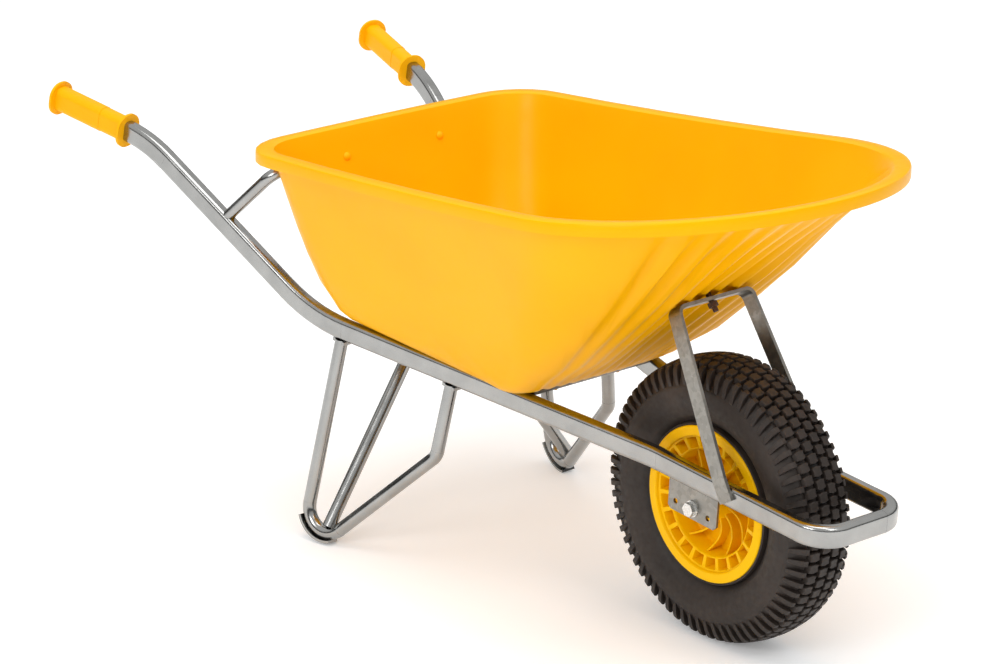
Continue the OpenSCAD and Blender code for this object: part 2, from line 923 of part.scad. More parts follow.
module tie_bolts() {
    color("silver")
        from_axle()
            for (s = [-1, 1])
                on_bed(tie_x, s * tie_bolt_y)
                    translate([0, 0, tray_t + seat_gap + rib_a + 0.75])
                        dome_bolt(m6, tray_t + bar_t + 11);
}

module tie_nuts() {
    color("silver")
        from_axle()
            for (s = [-1, 1])
                on_bed(tie_x, s * tie_bolt_y)
                    translate([0, 0, -bar_t - 0.1 - 5])
                        hex_nut(m6, 5);
}

hoop_head = (back_wall_x(hoop_z) - hoop_x) * cos(back_a) + tray_t + 1.9;
module hoop_bolts() {
    color("silver")
        from_axle()
            at_hoop_bolts()
                translate([0, 0, hoop_head])
                    dome_bolt(m6, hoop_head + hoop_d / 2 + 8);
}

module hoop_nuts() {
    color("silver")
        from_axle()
            at_hoop_bolts()
                translate([0, 0, -hoop_d / 2 - 0.3 - 5])
                    hex_nut(m6, 5);
}

frame_tube();
leg_left();
leg_right();
leg_brace();
foot_plate_left();
foot_plate_right();
cross_tie();
rear_hoop();
front_stay();
axle_plate_left();
axle_plate_right();
grip_left();
grip_right();
tray();
stay_bolt();
stay_nut();
tie_bolts();
tie_nuts();
hoop_bolts();
hoop_nuts();
axle_bolt();
axle_nut();
axle_washers();
axle_sleeve();
spacer_left();
spacer_right();
wheel_rim();
bush_left();
bush_right();
tyre();
inner_tube();
valve_stem();
valve_cap();
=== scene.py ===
"""Builds the finished look of a wheelbarrow with a yellow tray and a turf tyre."""
import math

import bpy
from mathutils import Matrix, Vector


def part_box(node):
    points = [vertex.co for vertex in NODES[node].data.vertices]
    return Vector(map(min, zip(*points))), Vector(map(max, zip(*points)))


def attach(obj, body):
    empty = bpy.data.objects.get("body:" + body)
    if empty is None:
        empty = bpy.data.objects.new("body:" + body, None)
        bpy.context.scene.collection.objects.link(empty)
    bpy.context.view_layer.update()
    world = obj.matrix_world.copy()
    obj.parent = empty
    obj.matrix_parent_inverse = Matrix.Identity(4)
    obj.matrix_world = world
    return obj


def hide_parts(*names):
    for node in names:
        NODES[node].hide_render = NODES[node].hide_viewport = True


bl_info = {
    "name": "Garden wheelbarrow",
    "version": (1, 0, 0),
    "blender": (4, 5, 0),
    "location": "View3D > Sidebar > Wheelbarrow",
    "description": "Tyre, wheel, tray, welds and finishes of a tray wheelbarrow",
    "category": "Object",
}

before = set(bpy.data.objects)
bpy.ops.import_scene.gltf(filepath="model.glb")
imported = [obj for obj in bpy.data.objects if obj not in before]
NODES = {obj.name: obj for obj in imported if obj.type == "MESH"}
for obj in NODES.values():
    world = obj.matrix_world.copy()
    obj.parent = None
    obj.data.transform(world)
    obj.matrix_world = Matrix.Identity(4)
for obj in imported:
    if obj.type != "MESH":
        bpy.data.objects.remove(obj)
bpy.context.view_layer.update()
TYRE_LOW, TYRE_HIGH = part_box("tyre")
AXLE = (TYRE_LOW + TYRE_HIGH) / 2
TYRE_RADIUS = (TYRE_HIGH.z - TYRE_LOW.z) / 2
# The round of the casing: its radius, and how far its middle is from the axle
CASING_RADIUS = 0.0505
CASING_MIDDLE = TYRE_RADIUS - CASING_RADIUS
# How far back from the axle the legs meet the rails, and how the rails spread
LEG_TOPS = (-0.6255, -0.4225)
RAIL_HALF_GAP = 0.078
RAIL_BEND = 0.272
RAIL_SPREAD = 0.206
# Way through the wall of the tray's sloping front
SLOPE_WAY = Vector((0.63, 0, -0.78))


# Sizes and colours

class TyreSettings(bpy.types.PropertyGroup):
    """Sizes of the turf tyre"""
    blocks: bpy.props.IntProperty(
        name="Blocks in a row", description="Tread blocks in each row round the tyre",
        default=70, min=24, max=90)
    block_height: bpy.props.FloatProperty(
        name="Block height", description="Depth of the tread",
        default=0.0085, unit="LENGTH", subtype="DISTANCE")
    rubber: bpy.props.FloatVectorProperty(
        name="Rubber", description="Colour of the rubber", size=3,
        default=(0.024, 0.0165, 0.0125), subtype="COLOR")


class WheelSettings(bpy.types.PropertyGroup):
    """Sizes of the plastic wheel"""
    pockets: bpy.props.IntProperty(
        name="Pockets", description="Pockets moulded round each face of the wheel",
        default=22, min=12, max=36)
    vanes: bpy.props.IntProperty(
        name="Vanes", description="Curved vanes from the hub to the ring of pockets",
        default=12, min=6, max=20)
    pocket_depth: bpy.props.FloatProperty(
        name="Pocket depth", description="Depth of each pocket",
        default=0.024, unit="LENGTH", subtype="DISTANCE")
    plastic: bpy.props.FloatVectorProperty(
        name="Wheel plastic", description="Colour of the wheel", size=3,
        default=(0.97, 0.54, 0.0003), subtype="COLOR")


class TraySettings(bpy.types.PropertyGroup):
    """Colours of the tray and the grips"""
    plastic: bpy.props.FloatVectorProperty(
        name="Tray plastic", description="Colour of the tray", size=3,
        default=(0.95, 0.45, 0.0002), subtype="COLOR")
    flutes: bpy.props.FloatProperty(
        name="Flutes", description="How much deeper the flutes of the front are pressed",
        default=1.3, min=0.0, max=3.0)
    grip: bpy.props.FloatVectorProperty(
        name="Grip", description="Colour of the grips", size=3,
        default=(0.95, 0.45, 0.001), subtype="COLOR")


class FrameSettings(bpy.types.PropertyGroup):
    """Finish of the steel parts"""
    steel: bpy.props.FloatVectorProperty(
        name="Plated steel", description="Colour of the plated tubes", size=3,
        default=(0.37, 0.37, 0.36), subtype="COLOR")
    flat_steel: bpy.props.FloatVectorProperty(
        name="Flat steel", description="Colour of the galvanised flat parts", size=3,
        default=(0.30, 0.29, 0.265), subtype="COLOR")
    weld_bead: bpy.props.FloatProperty(
        name="Weld bead", description="Width of the weld beads",
        default=0.005, unit="LENGTH", subtype="DISTANCE")


# Small tools for modelling

def deselect_all():
    for each in list(bpy.context.selected_objects):
        each.select_set(False)


def only(obj):
    """Makes obj the one selected and active object"""
    deselect_all()
    obj.select_set(True)
    bpy.context.view_layer.objects.active = obj
    return obj


def edit_mode(on=True):
    bpy.ops.object.mode_set(mode="EDIT" if on else "OBJECT")


def placed(obj):
    """Puts the object's place into its mesh"""
    only(obj)
    bpy.ops.object.transform_apply(location=True, rotation=True, scale=True)
    return obj


def outward(obj, merge=1e-6):
    """Merges doubles and turns the faces outwards"""
    only(obj)
    edit_mode()
    bpy.ops.mesh.select_all(action="SELECT")
    bpy.ops.mesh.remove_doubles(threshold=merge)
    bpy.ops.mesh.normals_make_consistent(inside=False)
    edit_mode(False)
    return obj


def smooth(obj, degrees=35.0):
    only(obj)
    bpy.ops.object.shade_smooth_by_angle(angle=math.radians(degrees))
    return obj


def bevelled(obj, width, segments=2, degrees=40.0):
    only(obj)
    mod = obj.modifiers.new("Edges", "BEVEL")
    mod.width = width
    mod.segments = segments
    mod.limit_method = "ANGLE"
    mod.angle_limit = math.radians(degrees)
    bpy.ops.object.modifier_apply(modifier=mod.name)
    return obj


def joined(objects, name):
    deselect_all()
    for each in objects:
        each.select_set(True)
    bpy.context.view_layer.objects.active = objects[0]
    if len(objects) > 1:
        bpy.ops.object.join()
    objects[0].name = name
    objects[0].data.name = name
    return objects[0]


def copy_of(obj, matrix):
    """A copy with its own mesh, moved by matrix"""
    twin = obj.copy()
    twin.data = obj.data.copy()
    twin.data.transform(matrix)
    bpy.context.scene.collection.objects.link(twin)
    return twin


def about_axle(angle):
    """Turn about the axle of the wheel"""
    return (Matrix.Translation(AXLE) @ Matrix.Rotation(angle, 4, "Y")
            @ Matrix.Translation(-AXLE))


def ring_of(obj, count, name, start=0.0):
    turns = [copy_of(obj, about_axle(start + 2 * math.pi * i / count)) for i in range(count)]
    bpy.data.objects.remove(obj)
    return joined(turns, name)


def turned_section(name, points, steps):
    """A closed section of (radius, y) points, turned round the axle"""
    deselect_all()
    bpy.ops.mesh.primitive_circle_add(vertices=len(points), radius=0.05, location=AXLE)
    obj = bpy.context.active_object
    obj.name = name
    placed(obj)
    for vert, (radius, y) in zip(obj.data.vertices, points):
        vert.co = AXLE + Vector((0, y, radius))
    edit_mode()
    bpy.ops.mesh.select_all(action="SELECT")
    bpy.ops.mesh.spin(steps=steps, angle=2 * math.pi, center=AXLE, axis=(0, 1, 0))
    edit_mode(False)
    return outward(obj, 1e-5)


def select_faces(obj, wanted):
    only(obj)
    edit_mode()
    bpy.ops.mesh.select_mode(type="FACE")
    bpy.ops.mesh.select_all(action="DESELECT")
    edit_mode(False)
    for face in obj.data.polygons:
        face.select = wanted(face.center)
    edit_mode()


# Finishes

def finish_named(name, colour, metallic, roughness):
    """A new finish with its shader; returns the finish, its nodes and its shader"""
    mat = bpy.data.materials.new(name)
    mat.use_nodes = True
    tree = mat.node_tree
    shader = tree.nodes["Principled BSDF"]
    shader.inputs["Base Color"].default_value = (*colour, 1)
    shader.inputs["Metallic"].default_value = metallic
    shader.inputs["Roughness"].default_value = roughness
    return mat, tree, shader


def place_of(tree, scale=(1, 1, 1)):
    where = tree.nodes.new("ShaderNodeTexCoord")
    spread = tree.nodes.new("ShaderNodeMapping")
    spread.inputs["Scale"].default_value = scale
    tree.links.new(where.outputs["Object"], spread.inputs["Vector"])
    return spread.outputs["Vector"]


def noise(tree, vector, scale, detail=4.0, rough=0.5):
    node = tree.nodes.new("ShaderNodeTexNoise")
    node.inputs["Scale"].default_value = scale
    node.inputs["Detail"].default_value = detail
    node.inputs["Roughness"].default_value = rough
    tree.links.new(vector, node.inputs["Vector"])
    return node.outputs["Fac"]


def cells(tree, vector, scale):
    node = tree.nodes.new("ShaderNodeTexVoronoi")
    node.inputs["Scale"].default_value = scale
    tree.links.new(vector, node.inputs["Vector"])
    return node.outputs["Color"]


def ramp(tree, fac, stops):
    node = tree.nodes.new("ShaderNodeValToRGB")
    for i, (at, colour) in enumerate(stops):
        stop = node.color_ramp.elements[i] if i < 2 else node.color_ramp.elements.new(at)
        stop.position = at
        stop.color = (*colour, 1) if len(colour) == 3 else colour
    tree.links.new(fac, node.inputs["Fac"])
    return node.outputs["Color"]


def levels(tree, fac, low, high, start=0.3, end=0.7):
    node = tree.nodes.new("ShaderNodeMapRange")
    node.inputs["From Min"].default_value = start
    node.inputs["From Max"].default_value = end
    node.inputs["To Min"].default_value = low
    node.inputs["To Max"].default_value = high
    tree.links.new(fac, node.inputs["Value"])
    return node.outputs["Result"]


def bump(tree, shader, height, strength, distance, under=None):
    node = tree.nodes.new("ShaderNodeBump")
    node.inputs["Strength"].default_value = strength
    node.inputs["Distance"].default_value = distance
    tree.links.new(height, node.inputs["Height"])
    if under is not None:
        tree.links.new(under, node.inputs["Normal"])
    tree.links.new(node.outputs["Normal"], shader.inputs["Normal"])
    return node.outputs["Normal"]


def shades(colour, *factors):
    return [tuple(min(1.0, c * f) for c in colour) for f in factors]


def moulded_plastic(name, colour, roughness=0.3, grain=0.05):
    """Shiny moulded polythene: soft waves, a fine skin and faint scuffs"""
    mat, tree, shader = finish_named(name, colour, 0.0, roughness)
    where = place_of(tree)
    dark, mid, light = shades(colour, 0.95, 1.0, 1.03)
    tone = ramp(tree, noise(tree, where, 5.0, 3.0), [(0.3, dark), (0.7, light), (0.5, mid)])
    tree.links.new(tone, shader.inputs["Base Color"])
    scuff = noise(tree, where, 45.0, 5.0, 0.6)
    tree.links.new(levels(tree, scuff, roughness - 0.03, roughness + 0.07), shader.inputs["Roughness"])
    waves = bump(tree, shader, noise(tree, where, 9.0, 1.0), 0.05, 0.004)
    bump(tree, shader, noise(tree, where, 1400.0, 2.0), grain, 0.0004, waves)
    shader.inputs["Specular IOR Level"].default_value = 0.11
    return mat


def plated_tube(name, colour):
    """Bright plated tube: fine drawn lines, cloudy patches and small marks"""
    mat, tree, shader = finish_named(name, colour, 1.0, 0.17)
    where = place_of(tree)
    clouds = noise(tree, where, 22.0, 5.0, 0.6)
    dark, mid, light = shades(colour, 0.84, 0.96, 1.08)
    tone = ramp(tree, clouds, [(0.28, dark), (0.72, light), (0.5, mid)])
    tree.links.new(tone, shader.inputs["Base Color"])
    drawn = noise(tree, place_of(tree, (6, 160, 160)), 7.0, 3.0)
    tree.links.new(levels(tree, clouds, 0.13, 0.25), shader.inputs["Roughness"])
    lines = bump(tree, shader, drawn, 0.05, 0.0005)
    bump(tree, shader, noise(tree, where, 45.0, 3.0), 0.05, 0.001, lines)
    return mat


def galvanised(name, colour, roughness=0.36, spangle=170.0):
    """Matt zinc with a spangle and faint rolling marks"""
    mat, tree, shader = finish_named(name, colour, 0.95, roughness)
    where = place_of(tree)
    facets = cells(tree, where, spangle)
    split = tree.nodes.new("ShaderNodeSeparateColor")
    tree.links.new(facets, split.inputs["Color"])
    dark, light = shades(colour, 0.84, 1.1)
    tone = ramp(tree, split.outputs["Red"], [(0.0, dark), (1.0, light)])
    tree.links.new(tone, shader.inputs["Base Color"])
    tree.links.new(levels(tree, noise(tree, where, 90.0), roughness - 0.06, roughness + 0.12),
                   shader.inputs["Roughness"])
    bump(tree, shader, noise(tree, place_of(tree, (40, 500, 500)), 2.0), 0.08, 0.0006)
    return mat


def rusted(name):
    """Brown rust over a black screw"""
    mat, tree, shader = finish_named(name, (0.1, 0.05, 0.03), 0.2, 0.75)
    where = place_of(tree)
    patches = noise(tree, where, 300.0, 6.0, 0.7)
    tone = ramp(tree, patches, [(0.3, (0.03, 0.02, 0.017)), (0.7, (0.2, 0.085, 0.03)),
                                (0.55, (0.11, 0.05, 0.025))])
    tree.links.new(tone, shader.inputs["Base Color"])
    tree.links.new(levels(tree, patches, 0.5, 0.9), shader.inputs["Roughness"])
    bump(tree, shader, patches, 0.4, 0.0006)
    return mat


def rubber(name, colour, roughness=0.58, fine=0.15):
    """Moulded rubber: warm black, a dusty bloom and a fine grain"""
    mat, tree, shader = finish_named(name, colour, 0.0, roughness)
    where = place_of(tree)
    bloom = noise(tree, where, 14.0, 6.0, 0.62)
    dark, mid, light = shades(colour, 0.75, 1.0, 1.5)
    tone = ramp(tree, bloom, [(0.3, dark), (0.75, light), (0.5, mid)])
    tree.links.new(tone, shader.inputs["Base Color"])
    tree.links.new(levels(tree, noise(tree, where, 120.0), roughness - 0.08, roughness + 0.12),
                   shader.inputs["Roughness"])
    bump(tree, shader, noise(tree, where, 900.0, 3.0), fine, 0.0004)
    shader.inputs["Specular IOR Level"].default_value = 0.42
    return mat


def tyre_rubber(settings):
    """The one finish that the casing and the tread share"""
    return bpy.data.materials.get("tyre_rubber") or rubber("tyre_rubber", settings.rubber)


def give(obj, mat):
    if not obj.material_slots:
        obj.data.materials.append(mat)
    for slot in obj.material_slots:
        slot.material = mat


# Pieces

def tyre_drop(y):
    """How far the crown of the tread falls at y from the middle"""
    return y * y / 0.26


class OBJECT_OT_barrow_tyre(bpy.types.Operator):
    """Models the tyre's casing with its bead and sidewall rings"""
    bl_idname = "object.barrow_tyre"
    bl_label = "Tyre casing"

    def execute(self, context):
        settings = context.scene.barrow_tyre
        height = settings.block_height
        # Bead, then the sidewall with its two raised rings, then the edge of the tread
        half = [(0.1016, 0.030), (0.1016, 0.0395), (0.1085, 0.0402), (0.1120, 0.0425),
                (0.1145, 0.0436), (0.1165, 0.0428)]
        raised = {4: 0.0008, 5: 0.0008, 16: 0.0007, 17: 0.0007}
        for i in range(1, 20):
            turn = math.radians(-50 + i * 4)
            half.append((CASING_MIDDLE + CASING_RADIUS * math.sin(turn),
                         CASING_RADIUS * math.cos(turn) + raised.get(i, 0.0)))
        half.append((TYRE_RADIUS - 0.0205, 0.0400))
        half.append((TYRE_RADIUS - height - tyre_drop(0.036), 0.0365))
        half.append((TYRE_RADIUS - height - tyre_drop(0.027), 0.027))
        half.append((TYRE_RADIUS - height - tyre_drop(0.015), 0.015))
        crown = [(TYRE_RADIUS - height, 0.0)]
        hollow = CASING_RADIUS - 0.008
        inner = [(CASING_MIDDLE + hollow * math.sin(a), hollow * math.cos(a))
                 for a in [math.radians(t) for t in (-40, 0, 40, 90, 140, 180, 220)]]
        other = [(r, -y) for r, y in reversed(half)]
        # Round the outside from one bead to the other, then back through the hollow
        points = half + crown + other + list(reversed(inner))
        casing = turned_section("tyre_casing", points, 144)
        smooth(casing, 28)
        give(casing, tyre_rubber(settings))
        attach(casing, "wheel")
        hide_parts("tyre")
        return {"FINISHED"}


def tread_block(length, width, height, y, waist=0.0, point=0.0, lean=0.0):
    """One block on the crown at the top of the tyre, pointed at its ends and waisted"""
    top = TYRE_RADIUS - tyre_drop(y)
    deselect_all()
    bpy.ops.mesh.primitive_cube_add(size=1, location=(AXLE.x, y, AXLE.z + top - height / 2))
    obj = bpy.context.active_object
    obj.dimensions = (length, width, height + 0.0016)
    placed(obj)
    edit_mode()
    bpy.ops.mesh.select_all(action="SELECT")
    bpy.ops.mesh.subdivide(number_cuts=1)
    edit_mode(False)
    centre = Vector((AXLE.x, y, AXLE.z + top - height / 2))
    for vert in obj.data.vertices:
        at = vert.co - centre
        along, across = at.x / (length / 2), at.y / (width / 2)
        if abs(across) < 0.1:
            at.x += math.copysign(point, along) if abs(along) > 0.5 else 0
        if abs(along) < 0.1:
            at.y -= math.copysign(waist, across) if abs(across) > 0.5 else 0
        at.x += lean * across
        if at.z > 0:
            at.x *= 0.90
            at.y *= 0.92
            at.z -= tyre_drop(y + at.y) - tyre_drop(y)
        vert.co = centre + at
    return bevelled(obj, 0.0006, 1, 50)


def shoulder_lug(side, length):
    """One lug that runs from the edge of the tread down the side of the casing"""
    # (y, radius) on a tyre of 0.205 radius, down the outside and back up inside the casing
    outline = [(0.0362, 0.1998), (0.0415, 0.1982), (0.0455, 0.1930), (0.0480, 0.1860),
               (0.0492, 0.1785), (0.0498, 0.1720), (0.0465, 0.1690), (0.0440, 0.1700),
               (0.0415, 0.1780), (0.0375, 0.1850), (0.0362, 0.1900)]
    deselect_all()
    bpy.ops.mesh.primitive_circle_add(vertices=len(outline), radius=0.01, fill_type="NGON",
                                      location=(AXLE.x, 0, AXLE.z))
    obj = placed(bpy.context.active_object)
    for vert, (y, radius) in zip(obj.data.vertices, outline):
        vert.co = Vector((AXLE.x - length / 2, side * y, AXLE.z + radius - 0.205 + TYRE_RADIUS))
    edit_mode()
    bpy.ops.mesh.select_all(action="SELECT")
    bpy.ops.mesh.extrude_region_move(TRANSFORM_OT_translate={"value": (length, 0, 0)})
    edit_mode(False)
    for vert in obj.data.vertices:
        at = vert.co - AXLE
        fade = max(0.0, min(1.0, (0.190 - at.z) / 0.020))
        vert.co.x = AXLE.x + at.x * (1 - 0.35 * fade) + 0.004 * fade
    outward(obj)
    return bevelled(obj, 0.0006, 1, 40)


class OBJECT_OT_barrow_tread(bpy.types.Operator):
    """Models the tread blocks and shoulder lugs and copies them round the tyre"""
    bl_idname = "object.barrow_tread"
    bl_label = "Tyre tread"

    def execute(self, context):
        settings = context.scene.barrow_tyre
        count = settings.blocks
        height = settings.block_height
        pitch = 2 * math.pi / count
        length = TYRE_RADIUS * pitch
        # From the middle, the shift and length in pitches, and the width
        rows = [(0.0090, 0.0, 0.68, 0.0158), (0.0268, 0.5, 0.66, 0.0152)]
        for side, hand in ((-1, "right"), (1, "left")):
            made = []
            for y, shift, share, width in rows:
                block = tread_block(length * share, width, height, side * y, 0.0012, 0.0017,
                                    side * 0.0006)
                turn = (shift + (0.5 if side > 0 else 0)) * pitch
                made.append(ring_of(block, count, "tread_row", turn))
            lug = shoulder_lug(side, length * 0.46)
            made.append(ring_of(lug, count, "tread_lugs", pitch / 2 if side > 0 else 0.0))
            tread = joined(made, "tread_" + hand)
            smooth(tread, 30)
            give(tread, tyre_rubber(settings))
            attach(tread, "wheel")
        return {"FINISHED"}


class OBJECT_OT_barrow_wheel(bpy.types.Operator):
    """Models the wheel with its flanges, pockets and curved vanes"""
    bl_idname = "object.barrow_wheel"
    bl_label = "Wheel"

    def execute(self, context):
        settings = context.scene.barrow_wheel
        half = [(0.0985, 0.0), (0.0985, 0.036), (0.1010, 0.0393), (0.1110, 0.0397),
                (0.1132, 0.0415), (0.1134, 0.0438), (0.1118, 0.0454), (0.1000, 0.0460),
                (0.0985, 0.0450), (0.0975, 0.0410), (0.0966, 0.0402), (0.0955, 0.0398),
                (0.0800, 0.0372), (0.0790, 0.0370), (0.0775, 0.0355), (0.0765, 0.0330),
                (0.0745, 0.0080), (0.0700, 0.0045), (0.0290, 0.0055), (0.0262, 0.0100),
                (0.0250, 0.0440), (0.0235, 0.0450), (0.0152, 0.0450), (0.0150, 0.0)]
        points = half + [(r, -y) for r, y in reversed(half[1:-1])]
        # Three steps to a pocket and one to the web beside it
        steps = settings.pockets * 4
        rim = turned_section("wheel_body", points, steps)
        deselect_all()
        for side in (-1, 1):
            def in_pocket(centre, side=side):
                at = centre - AXLE
                radius = math.hypot(at.x, at.z)
                index = int((math.atan2(at.x, at.z) % (2 * math.pi)) / (2 * math.pi) * steps)
                return 0.0815 < radius < 0.0950 and 0.030 < side * at.y < 0.041 and index % 4 != 0
            select_faces(rim, in_pocket)
            bpy.ops.mesh.extrude_region_move(
                TRANSFORM_OT_translate={"value": (0, -side * settings.pocket_depth, 0)})
            edit_mode(False)
        bevelled(rim, 0.0008, 2, 42)
        smooth(rim, 32)
        mat = moulded_plastic("wheel_plastic", settings.plastic, 0.33)
        give(rim, mat)
        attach(rim, "wheel")
        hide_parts("wheel_rim")
        sides = []
        for side in (-1, 1):
            deselect_all()
            bpy.ops.mesh.primitive_cube_add(size=1, location=AXLE)
            vane = bpy.context.active_object
            vane.dimensions = (0.0034, 0.03, 0.052)
            placed(vane)
            edit_mode()
            bpy.ops.mesh.select_all(action="SELECT")
            bpy.ops.mesh.subdivide(number_cuts=7)
            edit_mode(False)
            for vert in vane.data.vertices:
                at = vert.co - AXLE
                along = at.z / 0.052 + 0.5
                radius = 0.0235 + along * 0.0525
                turn = 0.62 * along ** 0.8 + at.x / radius
                height = at.y / 0.03 + 0.5
                top = 0.0300 - 0.0075 * math.sin(along * math.pi) - 0.004 * (1 - along)
                vert.co = AXLE + Vector((radius * math.sin(turn),
                                         side * (0.003 + height * (top - 0.003)),
                                         radius * math.cos(turn)))
            outward(vane)
            bevelled(vane, 0.0007, 2, 50)
            sides.append(ring_of(vane, settings.vanes, "vanes_side", 0.0 if side < 0 else 0.26))
        vanes = joined(sides, "wheel_vanes")
        outward(vanes, 1e-7)
        smooth(vanes, 35)
        give(vanes, mat)
        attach(vanes, "wheel")
        return {"FINISHED"}


def deepen_flutes(skin, times):
    """Presses the flutes of the sloping front deeper, along the way through the wall"""
    beside = [[] for _ in skin.data.vertices]
    for edge in skin.data.edges:
        a, b = edge.vertices
        beside[a].append(b)
        beside[b].append(a)
    calm = [vert.co.copy() for vert in skin.data.vertices]
    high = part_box("tray")[1]
    most = 0.0045
    for _ in range(24):
        calm = [sum((calm[i] for i in near), Vector()) / len(near) * 0.7 + calm[k] * 0.3
                if near else calm[k] for k, near in enumerate(beside)]
    for k, vert in enumerate(skin.data.vertices):
        part = (vert.co.x - AXLE.x + 0.24) / 0.05
        top = (high.z - 0.035 - vert.co.z) / 0.05
        part = max(0.0, min(1.0, part, top, (0.215 - abs(vert.co.y)) / 0.03))
        shift = (vert.co - calm[k]).dot(SLOPE_WAY)
        vert.co += SLOPE_WAY * max(-most, min(most, shift * times)) * part


class OBJECT_OT_barrow_tray(bpy.types.Operator):
    """Models the moulded skin of the tray over the tray's own walls"""
    bl_idname = "object.barrow_tray"
    bl_label = "Tray"

    def execute(self, context):
        deselect_all()
        skin = NODES["tray"].copy()
        skin.data = NODES["tray"].data.copy()
        skin.name = "tray_skin"
        skin.parent = None
        for key in list(skin.keys()):
            del skin[key]
        context.scene.collection.objects.link(skin)
        only(skin)
        bpy.ops.mesh.customdata_custom_splitnormals_clear()
        edit_mode()
        bpy.ops.mesh.select_all(action="SELECT")
        bpy.ops.mesh.remove_doubles(threshold=2e-5)
        bpy.ops.mesh.tris_convert_to_quads(face_threshold=0.6, shape_threshold=0.7)
        edit_mode(False)
        deepen_flutes(skin, context.scene.barrow_tray.flutes)
        smooth(skin, 38)
        give(skin, moulded_plastic("tray_plastic", context.scene.barrow_tray.plastic, 0.31))
        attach(skin, "frame")
        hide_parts("tray")
        return {"FINISHED"}


def weld_ripple(size):
    """One ripple of a weld bead, domed and lying along X"""
    deselect_all()
    bpy.ops.mesh.primitive_uv_sphere_add(segments=10, ring_count=6, radius=size / 2)
    ripple = bpy.context.active_object
    edit_mode()
    bpy.ops.mesh.select_all(action="SELECT")
    bpy.ops.transform.resize(value=(0.62, 1.0, 0.62))
    edit_mode(False)
    placed(ripple)
    return ripple


def bead_along(ripple, points, spacing):
    """Copies of the ripple laid close along a line of points"""
    laid = []
    for start, end in zip(points, points[1:]):
        start, end = Vector(start), Vector(end)
        way = end - start
        count = max(2, int(way.length / spacing))
        turn = way.to_track_quat("X", "Z").to_matrix().to_4x4()
        for i in range(count):
            at = start + way * ((i + 0.5) / count)
            laid.append(copy_of(ripple, Matrix.Translation(at) @ turn))
    return laid


def touch(node, start, way):
    """Where a ray first meets a CAD node"""
    hit, place, _, _ = NODES[node].ray_cast(Vector(start), Vector(way))
    return place if hit else None


class OBJECT_OT_barrow_welds(bpy.types.Operator):
    """Models the weld beads of the axle plates and the legs"""
    bl_idname = "object.barrow_welds"
    bl_label = "Weld beads"

    def execute(self, context):
        size = context.scene.barrow_frame.weld_bead
        ripple = weld_ripple(size)
        laid = []
        for side, hand in ((-1, "right"), (1, "left")):
            low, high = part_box("axle_plate_" + hand)
            inner = low.y if side > 0 else high.y
            line = []
            for i in range(7):
                x = low.x + 0.008 + (high.x - low.x - 0.016) * i / 6
                place = touch("frame_tube", (x, side * (abs(inner) + 0.009), AXLE.z), (0, 0, 1))
                if place is not None:
                    line.append((x, side * (abs(inner) + 0.0045), place.z))
            if len(line) > 1:
                laid += bead_along(ripple, line, size * 0.45)
            for leg_x in LEG_TOPS:
                x0 = leg_x + AXLE.x
                for edge in (-0.0065, 0.0065):
                    line = []
                    for step in (-0.011, 0.0, 0.011):
                        rail_y = RAIL_HALF_GAP + max(0.0, -leg_x - RAIL_BEND) * RAIL_SPREAD
                        start = (x0 + step, side * rail_y + edge, 0.2)
                        place = touch("frame_tube", start, (0, 0, 1))
                        if place is not None:
                            line.append((start[0], start[1], place.z - 0.0008))
                    if len(line) > 1:
                        laid += bead_along(ripple, line, size * 0.45)
        bpy.data.objects.remove(ripple)
        if not laid:
            raise RuntimeError("no weld bead was laid")
        welds = joined(laid, "weld_beads")
        smooth(welds, 60)
        give(welds, galvanised("weld_metal", (0.52, 0.52, 0.50), 0.42, 400.0))
        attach(welds, "frame")
        return {"FINISHED"}


class OBJECT_OT_barrow_finishes(bpy.types.Operator):
    """Gives each part of the frame its finish"""
    bl_idname = "object.barrow_finishes"
    bl_label = "Finishes"

    def execute(self, context):
        steel = context.scene.barrow_frame
        tube = plated_tube("plated_tube", steel.steel)
        flat = galvanised("galvanised_flat", steel.flat_steel)
        screw = galvanised("bright_zinc", (0.72, 0.72, 0.70), 0.28, 600.0)
        rust = rusted("rusted_screw")
        grip = moulded_plastic("grip_rubber", context.scene.barrow_tray.grip, 0.42, 0.12)
        bush = rubber("bush_plastic", (0.02, 0.02, 0.021), 0.42, 0.08)
        tube_rubber = rubber("tube_rubber", (0.016, 0.016, 0.017), 0.5)
        brass = galvanised("stem_brass", (0.55, 0.38, 0.16), 0.3, 700.0)
        parts = {
            tube: ("frame_tube", "leg_left", "leg_right", "leg_brace", "rear_hoop",
                   "foot_plate_left", "foot_plate_right", "axle_sleeve"),
            flat: ("cross_tie", "front_stay", "axle_plate_left", "axle_plate_right",
                   "spacer_left", "spacer_right"),
            screw: ("tie_nuts", "hoop_nuts", "axle_bolt", "axle_nut", "axle_washers"),
            grip: ("grip_left", "grip_right", "tie_bolts", "hoop_bolts"),
            rust: ("stay_bolt", "stay_nut"),
            bush: ("bush_left", "bush_right", "valve_cap"),
            tube_rubber: ("inner_tube",),
            brass: ("valve_stem",),
        }
        for mat, names in parts.items():
            for name in names:
                give(NODES[name], mat)
        under_skins = {"tray": "tray_plastic", "tyre": "tyre_rubber", "wheel_rim": "wheel_plastic"}
        for name, mat_name in under_skins.items():
            give(NODES[name], bpy.data.materials[mat_name])
        return {"FINISHED"}


def soft_light(name, place, aim, size, power, colour=(1, 1, 1)):
    data = bpy.data.lights.new(name, "AREA")
    data.shape = "RECTANGLE"
    data.size, data.size_y = size
    data.energy = power
    data.color = colour
    lamp = bpy.data.objects.new(name, data)
    bpy.context.scene.collection.objects.link(lamp)
    lamp.location = place
    lamp.rotation_euler = (Vector(aim) - Vector(place)).to_track_quat("-Z", "Y").to_euler()
    return lamp


